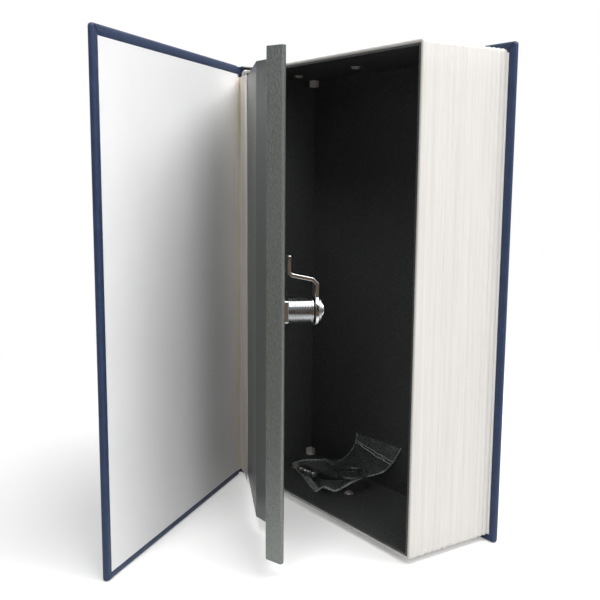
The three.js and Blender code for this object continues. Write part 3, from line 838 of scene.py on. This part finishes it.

# %% [markdown]
# The endpaper crosses the gutter in one sheet, from the cover to the face of the door. It turns
# about two joints there, so it is made as two strips that meet at the door's hinge edge, one for
# each joint. The fold's paper is painted darker and warmer than the endpaper, with random streaks
# along its length: painted warm shade of the deep gutter. It stops short of the head.

# %% Fold the endpaper through the gutter
# The paper's warm, darker colours are painted warm shade of the deep gutter, streaked at random
# along its length.
gutter_paper = new_finish("gutter_paper", (0.84, 0.8, 0.74), 0.7)
warm_shade_streaks = cloud(gutter_paper[0], 70, 4, (1, 1, 0.2))
join_up(
    gutter_paper[0],
    graded(gutter_paper[0], warm_shade_streaks, (0.76, 0.72, 0.65), (0.88, 0.845, 0.79)),
    gutter_paper[1].inputs["Base Color"],
)
raise_relief(*gutter_paper, cloud(gutter_paper[0], 300, 3, (1, 1, 0.15)), 0.08 * mm)
gutter_low, gutter_high = in_mm("gutter_paper")
short_of_head = 1.6
gutter_head = gutter_high.z - short_of_head
paper_thickness = 0.3
fold = plan(door_frame, 3.2, -3.9)
cover_side_path = along(
    [
        plan(door_frame, 3.9, -3.95),
        fold,
        plan(cover_frame, 2.5, -4.35),
        plan(cover_frame, 4.6, -5.0),
        plan(cover_frame, 8.0, -5.17),
    ],
    26,
)
cover_side = blended_strip(
    "gutter_paper_cover_side",
    cover_side_path,
    paper_thickness,
    gutter_low.z,
    gutter_head,
    gutter_paper[0],
    taper=0.9,
)
door_side_path = along(
    [
        plan(door_frame, 17.5, -3.27),
        plan(door_frame, 14.7, -3.27),
        plan(door_frame, 9.0, -3.4),
        fold,
        plan(cover_frame, 3.1, -4.1),
    ],
    26,
)
door_side = blended_strip(
    "gutter_paper_door_side",
    door_side_path[::-1],
    paper_thickness,
    gutter_low.z,
    gutter_head,
    gutter_paper[0],
    taper=0.9,
)
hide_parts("gutter_paper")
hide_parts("gutter_paper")
print("gutter paper is", round(gutter_head - gutter_low.z, 1), "mm tall")

# %% [markdown]
# The lock's body is a chromed barrel with a fine thread. A bump texture could draw rings round it,
# but the thread shows in the barrel's outline, so it is a real helix: the radius rises and falls
# with the distance along the barrel plus a share of the angle round it.

# %% Cut the thread of the lock
body_low, body_high = in_mm("lock_body", door_frame)
lock_x = (body_low.x + body_high.x) / 2
lock_z = (body_low.z + body_high.z) / 2
barrel_radius = 6.4
barrel_bore = 4.3
thread_pitch = 0.72
thread_depth = 0.55
head_radius = 9.0
head_back = body_low.y + 4.0
around = 72


def barrel_ring(y, radius, thread=0.0):
    ring = []
    for k in range(around):
        angle = 2 * math.pi * k / around
        turn = (y / thread_pitch + k / around) % 1.0
        here = radius - thread * abs(2 * turn - 1)
        ring.append((lock_x + here * math.cos(angle), y, lock_z + here * math.sin(angle)))
    return ring


body_rings = [
    barrel_ring(body_low.y + 0.6, barrel_bore),
    barrel_ring(body_low.y + 0.1, barrel_bore + 0.25),
    barrel_ring(body_low.y, barrel_bore + 0.6),
    barrel_ring(body_low.y + 0.05, head_radius - 2.2),
    barrel_ring(body_low.y + 0.35, head_radius - 0.9),
    barrel_ring(body_low.y + 1.0, head_radius - 0.2),
    barrel_ring(body_low.y + 1.6, head_radius),
    barrel_ring(head_back - 0.2, head_radius),
    barrel_ring(head_back, head_radius - 0.2),
    barrel_ring(head_back, barrel_radius),
]
thread_steps = int((body_high.y - 0.6 - head_back - 0.6) / (thread_pitch / 8))
for step in range(thread_steps + 1):
    y = head_back + 0.6 + (body_high.y - 0.6 - head_back - 0.6) * step / thread_steps
    fade = min(1.0, step / 8, (thread_steps - step) / 8)
    body_rings.append(barrel_ring(y, barrel_radius, thread_depth * fade))
body_rings += [
    barrel_ring(body_high.y - 0.35, barrel_radius - 0.15),
    barrel_ring(body_high.y, barrel_radius - 0.6),
    barrel_ring(body_high.y, barrel_bore),
    barrel_ring(body_low.y + 0.6, barrel_bore),
]
lock_barrel = new_piece(
    "lock_barrel", *skin_over(body_rings, capped=False), chrome, door_frame, sharp=65
)
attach(lock_barrel, "door")
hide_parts("lock_body")
print("threads on the barrel:", round((body_high.y - head_back) / thread_pitch))

# %% [markdown]
# The cam is held by a domed screw with a cross recess. A half round is spun about the lock's axis,
# and the cross is pressed in by pushing the dome's points down where they lie near either arm.

# %% Dome the cam screw
screw_low, screw_high = in_mm("cam_screw", door_frame)
screw_radius = (screw_high.x - screw_low.x) / 2
dome_base = screw_high.y - 2.2
screw_rings = []
for step in range(25):
    rise = step / 24
    radius = screw_radius * math.cos(rise * math.pi / 2 * 0.995)
    ring = []
    for k in range(72):
        angle = 2 * math.pi * k / 72
        x, z = radius * math.cos(angle), radius * math.sin(angle)
        height = 2.2 * math.sin(rise * math.pi / 2)
        arm = min(abs(x), abs(z))
        reach = max(abs(x), abs(z))
        press = max(0.0, 1 - arm / 0.45) * max(0.0, min(1.0, (2.1 - reach) / 0.5))
        ring.append((lock_x + x, dome_base + height - 0.9 * min(1.0, press * 2), lock_z + z))
    screw_rings.append(ring)
shank = [
    [
        (lock_x + 1.9 * math.cos(a), y, lock_z + 1.9 * math.sin(a))
        for a in np.linspace(0, 2 * math.pi, 72, endpoint=False)
    ]
    for y in (screw_low.y, dome_base)
]
screw_dome = new_piece("screw_dome", *skin_over(shank + screw_rings), chrome, door_frame, sharp=50)
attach(screw_dome, "lock_core")
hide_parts("cam_screw")
print("screw head is", round(2 * screw_radius, 1), "mm across")

# %% [markdown]
# The spare keys come in a small clear bag with a press-to-close mouth. Its closed end lies at the
# front of the box's floor, and its mouth leans up the back wall. Film this thin has no thickness
# to see: what shows is its welded edges, the zip and the glints on its creases. The bag is a
# lofted shell of two films, the lower one on the floor and the upper one draped over the keys.

# %% Clear film
def clear_film():
    finish, shader = new_finish("clear_film", (0.55, 0.6, 0.6), 0.16)
    shader.inputs["Specular IOR Level"].default_value = 0.6
    creases = cloud(finish, 95, 5, (1, 1, 1), 2.2)
    fold_lines = graded(finish, creases, 0.0, 1.0, 0.44, 0.56)
    edge_on = add_node(finish, "ShaderNodeLayerWeight")
    edge_on.inputs["Blend"].default_value = 0.25
    facing = graded(finish, edge_on.outputs["Facing"], 0.03, 0.3, 0.35, 0.98)
    haze = graded(finish, cloud(finish, 420, 3), 0.02, 0.09)
    join_up(finish, crossed(finish, facing, haze, "ADD"), shader.inputs["Alpha"])
    raise_relief(finish, shader, fold_lines, 0.5 * mm)
    raise_relief(finish, shader, cloud(finish, 700, 2, (1, 1, 1), 1.5), 0.12 * mm)
    return finish


def welded_film():
    finish, shader = new_finish("welded_film", (0.62, 0.66, 0.66), 0.22)
    shader.inputs["Specular IOR Level"].default_value = 0.6
    crimp = cloud(finish, 900, 2)
    join_up(finish, graded(finish, crimp, 0.16, 0.4), shader.inputs["Alpha"])
    raise_relief(finish, shader, crimp, 0.15 * mm)
    return finish


bag_film = clear_film()
bag_weld = welded_film()

# %% Drape the key bag
bag_draw = Vector((3.1, 7.7, 1.3))
left_side = [
    (-60.8, -29.0, 7.4),
    (-59.0, -21.5, 8.6),
    (-52.5, -12.5, 8.7),
    (-44.0, -7.2, 9.8),
    (-35.0, -6.6, 17.0),
    (-29.5, -6.4, 25.0),
    (-28.0, -6.4, 31.0),
]
right_side = [
    (-17.0, -43.0, 6.9),
    (-13.2, -41.1, 10.0),
    (-6.0, -38.2, 9.7),
    (-2.4, -30.1, 14.0),
    (-4.5, -19.3, 14.0),
    (-3.4, -8.0, 14.9),
    (3.2, -6.5, 21.8),
    (10.0, -6.4, 32.0),
]


def along_side(side, share):
    """A point at a share of the way along a side, on a smooth curve."""
    place = share * (len(side) - 1)
    k = min(int(place), len(side) - 2)
    near = (max(k - 1, 0), k, k + 1, min(k + 2, len(side) - 1))
    return through(*(Vector(side[number]) for number in near), place - k)


floor_level = 6.95
wall_level = -6.2
key_tops = 14.7


def film_point(across, forward, lower):
    """A point of one film: across from the left side to the right, forward to the mouth."""
    left, right = along_side(left_side, forward), along_side(right_side, forward)
    point = left.lerp(right, across)
    belly = math.sin(math.pi * across) ** 0.7
    shut = min(1.0, forward / 0.12)
    ripple = noise.noise(point * 0.13 + bag_draw) + 0.5 * noise.noise(point * 0.33 + bag_draw)
    crease = 1 - abs(noise.noise(point * 0.09 + bag_draw * 2)) * 2
    on_floor = 1 - min(1.0, max(0.0, (forward - 0.55) / 0.2))
    if lower:
        drop = (point.z - floor_level) * belly * on_floor * shut
        back = (wall_level - point.y) * belly * (1 - on_floor)
        return Vector((point.x, point.y + back, point.z - drop + 0.1 * ripple * belly))
    over_keys = max(0.0, 1 - abs(forward - 0.32) / 0.3)
    height = (key_tops - point.z) * belly * shut * (0.25 + 0.75 * over_keys) * on_floor
    lean = -1.6 * belly * (1 - on_floor)
    wrinkle = (0.9 * ripple + 0.8 * crease) * belly * shut
    return Vector((point.x, point.y + lean, point.z + max(height, 0.2 * belly) + wrinkle * 0.8))


bag_rings = []
for row in range(61):
    forward = row / 60
    under = [film_point(k / 28, forward, True) for k in range(29)]
    over = [film_point(k / 28, forward, False) for k in range(28, -1, -1)]
    bag_rings.append(under + over)
points, faces = skin_over(bag_rings, capped=False)
key_bag_film = new_piece("key_bag_film", points, faces, bag_film, sharp=70)
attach(key_bag_film, "case")
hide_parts("key_bag")


def bead(name, line, radius, flat, finish):
    """A thin rounded strip along a line, such as a weld or a zip."""
    rings = []
    for k, point in enumerate(line):
        before, after = line[max(k - 1, 0)], line[min(k + 1, len(line) - 1)]
        run = (after - before).normalized()
        side = run.cross(Vector((0.2, -0.6, 0.8))).normalized()
        top = side.cross(run).normalized()
        rings.append(
            [
                point + side * radius * math.cos(a) + top * radius * flat * math.sin(a)
                for a in np.linspace(0, 2 * math.pi, 8, endpoint=False)
            ]
        )
    strip = new_piece(name, *skin_over(rings), finish)
    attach(strip, "case")
    return strip


shares = np.linspace(0, 1, 50)
bead("bag_left_weld", [along_side(left_side, s) for s in shares], 0.7, 0.3, bag_weld)
bead("bag_right_weld", [along_side(right_side, s) for s in shares], 0.7, 0.3, bag_weld)
bead("bag_end_weld", [film_point(s, 0.02, True) for s in shares], 1.7, 0.2, bag_weld)
bead("bag_zip_upper", [film_point(s, 0.84, False) for s in shares], 0.45, 0.8, bag_weld)
bead("bag_zip_lower", [film_point(s, 0.87, False) for s in shares], 0.35, 0.8, bag_weld)
print("bag reaches", round(max(point[2] for ring in bag_rings for point in ring), 1), "mm up")

# %% [markdown]
# The studio is a white sheet on the floor. It could be one white plane, but the picture's floor is
# white and still shows the object's shadow. So the camera sees a pale glow with the shaded floor
# over it, which turns to plain white farther off, and the object is lit by a plain grey sheet. In
# front the sheet ends in a dark carpet that only reflections see: it draws the dark lines in the
# chrome.


# %% Lay the floor
dim_azimuth = math.radians(-36)
toward_photographer = (math.cos(dim_azimuth), math.sin(dim_azimuth), 0)
sheet_fades = (0.14, 0.24)
shadow_fades = (0.22, 0.5)


def rays_of(tree, *kinds):
    """A value that is 1 for rays of these kinds, and 0 for the rest."""
    path = tree.nodes.new("ShaderNodeLightPath")
    value = path.outputs[kinds[0]]
    for kind in kinds[1:]:
        larger = tree.nodes.new("ShaderNodeMath")
        larger.operation = "MAXIMUM"
        tree.links.new(value, larger.inputs[0])
        tree.links.new(path.outputs[kind], larger.inputs[1])
        value = larger.outputs["Value"]
    return value


def run_of(tree, kind, value, low, high, at_low=0.0, at_high=1.0):
    """A run from one number to another as a value goes from low to high."""
    step = tree.nodes.new("ShaderNodeMapRange")
    step.interpolation_type = kind
    limits = {"From Min": low, "From Max": high, "To Min": at_low, "To Max": at_high}
    for name, limit in limits.items():
        step.inputs[name].default_value = limit
    tree.links.new(value, step.inputs["Value"])
    return step.outputs["Result"]


def worked(tree, operation, vector, second=(0, 0, 0)):
    """One step of vector arithmetic, with its vector and its value."""
    step = tree.nodes.new("ShaderNodeVectorMath")
    step.operation = operation
    tree.links.new(vector, step.inputs[0])
    step.inputs[1].default_value = second
    return step.outputs


def white_floor():
    finish = bpy.data.materials.new("studio_floor")
    finish.use_nodes = True
    tree = finish.node_tree
    tree.nodes.clear()

    def surface(kind, level, colour=(1, 1, 0.995)):
        made = tree.nodes.new(kind)
        made.inputs["Color"].default_value = (*(level * part for part in colour), 1)
        return made.outputs[0]

    def either(factor, first, second):
        choice = tree.nodes.new("ShaderNodeMixShader")
        for socket, source in zip(choice.inputs, (factor, first, second)):
            tree.links.new(source, socket)
        return choice.outputs["Shader"]

    lit = surface("ShaderNodeBsdfDiffuse", 0.6)
    together = tree.nodes.new("ShaderNodeAddShader")
    tree.links.new(surface("ShaderNodeBsdfDiffuse", 0.86), together.inputs[0])
    tree.links.new(surface("ShaderNodeEmission", 0.25), together.inputs[1])
    shown = together.outputs["Shader"]
    carpet = surface("ShaderNodeBsdfDiffuse", 0.1, (1, 0.75, 0.55))
    white = surface("ShaderNodeEmission", 1, (1, 1, 1))
    place = tree.nodes.new("ShaderNodeTexCoord").outputs["Object"]
    forward = worked(tree, "DOT_PRODUCT", place, toward_photographer)["Value"]
    away = worked(tree, "LENGTH", place)["Value"]
    mirrored = either(run_of(tree, "LINEAR", forward, *sheet_fades), shown, carpet)
    sweep = either(run_of(tree, "SMOOTHSTEP", away, *shadow_fades), shown, white)
    seen = either(rays_of(tree, "Is Camera Ray", "Is Transmission Ray"), mirrored, sweep)
    shown_rays = rays_of(tree, "Is Camera Ray", "Is Glossy Ray", "Is Transmission Ray")
    out = tree.nodes.new("ShaderNodeOutputMaterial")
    tree.links.new(either(shown_rays, lit, seen), out.inputs["Surface"])
    return finish


floor_mesh = bpy.data.meshes.new("studio_floor")
floor_shape = bmesh.new()
bmesh.ops.create_grid(floor_shape, x_segments=24, y_segments=24, size=8)
floor_shape.to_mesh(floor_mesh)
floor_shape.free()
floor_mesh.materials.append(white_floor())
floor = bpy.data.objects.new("studio_floor", floor_mesh)
bpy.context.scene.collection.objects.link(floor)

print("sheet ends", sheet_fades[1], "m in front")

# %% [markdown]
# Four soft lamps light it. The broad one high on the right is a window. The door keeps it off the
# cover's hinge side, which makes the long fall from white to grey across the paper. A low one in
# front reaches farther round the door, one at the back lights the cover's head over it, and a
# small one reaches into the box. The sky is dim, most of all behind the photographer, which
# darkens the gutter and puts dark lines into the chrome. One even sky would be simpler, but it
# flattens the covers.


# %% Light the studio
ambient_strength = 0.17
mirrored_strength = 0.75
white_strength = 1.0
overhead_levels = (0.9, 1.9)
dimmest = 0.07
dim_tint = (1, 0.8, 0.6)
studio = bpy.data.worlds.new("studio")
studio.use_nodes = True
bpy.context.scene.world = studio
sky_tree = studio.node_tree
sky = sky_tree.nodes["Background"]
sky.inputs["Color"].default_value = (1, 1, 1, 1)


def sky_times(first, second):
    product = sky_tree.nodes.new("ShaderNodeMath")
    product.operation = "MULTIPLY"
    sky_tree.links.new(first, product.inputs[0])
    sky_tree.links.new(second, product.inputs[1])
    return product.outputs["Value"]


direction = sky_tree.nodes.new("ShaderNodeTexCoord").outputs["Generated"]
lowered = worked(sky_tree, "MULTIPLY", direction, (1, 1, 0.4))["Vector"]
levelled = worked(sky_tree, "NORMALIZE", lowered)["Vector"]
facing = worked(sky_tree, "DOT_PRODUCT", levelled, toward_photographer)["Value"]
dimness = run_of(sky_tree, "SMOOTHSTEP", facing, 0.78, 0.93)
dimming = run_of(sky_tree, "LINEAR", dimness, 0, 1, 1.0, dimmest)
upward = worked(sky_tree, "DOT_PRODUCT", direction, (0, 0, 1))["Value"]
overhead = run_of(sky_tree, "SMOOTHSTEP", upward, 0.1, 0.95, *overhead_levels)
reflected = rays_of(sky_tree, "Is Glossy Ray")
light_level = run_of(sky_tree, "LINEAR", reflected, 0, 1, ambient_strength, mirrored_strength)
plain_rays = rays_of(sky_tree, "Is Camera Ray", "Is Transmission Ray")
strength = sky_tree.nodes.new("ShaderNodeMix")
sky_tree.links.new(plain_rays, strength.inputs[0])
sky_tree.links.new(sky_times(sky_times(dimming, overhead), light_level), strength.inputs[2])
strength.inputs[3].default_value = white_strength
sky_tree.links.new(strength.outputs[0], sky.inputs["Strength"])
tint = sky_tree.nodes.new("ShaderNodeMix")
tint.data_type = "RGBA"
tint.inputs[6].default_value = (1, 1, 1, 1)
tint.inputs[7].default_value = (*dim_tint, 1)
plain = run_of(sky_tree, "LINEAR", plain_rays, 0, 1, 1.0, 0.0)
sky_tree.links.new(sky_times(dimness, plain), tint.inputs[0])
sky_tree.links.new(tint.outputs[2], sky.inputs["Color"])

lamp_target = Vector((0, -80, 110)) * mm


def soft_lamp(name, azimuth, height, distance, size, energy, mirrored=True):
    """A round area lamp that looks at the object from an azimuth and a height in degrees."""
    light = bpy.data.lights.new(name, "AREA")
    light.shape = "DISK"
    light.size = size
    light.energy = energy
    lamp = bpy.data.objects.new(name, light)
    bpy.context.scene.collection.objects.link(lamp)
    around, up = math.radians(azimuth), math.radians(height)
    toward = Vector(
        (math.cos(around) * math.cos(up), math.sin(around) * math.cos(up), math.sin(up))
    )
    lamp.location = lamp_target + toward * distance
    lamp.rotation_euler = toward.to_track_quat("Z", "Y").to_euler()
    lamp.visible_glossy = mirrored
    return lamp


window_lamp = soft_lamp("window_lamp", 18, 53, 1.5, 1.5, 17)
soft_lamp("low_lamp", -13, 15, 1.6, 0.6, 7, mirrored=False)
soft_lamp("back_lamp", 62, 57, 1.5, 1.2, 10)
soft_lamp("front_lamp", -56, 58, 1.4, 0.5, 7)
print("lamp is", round(window_lamp.location.z, 2), "m above the floor")
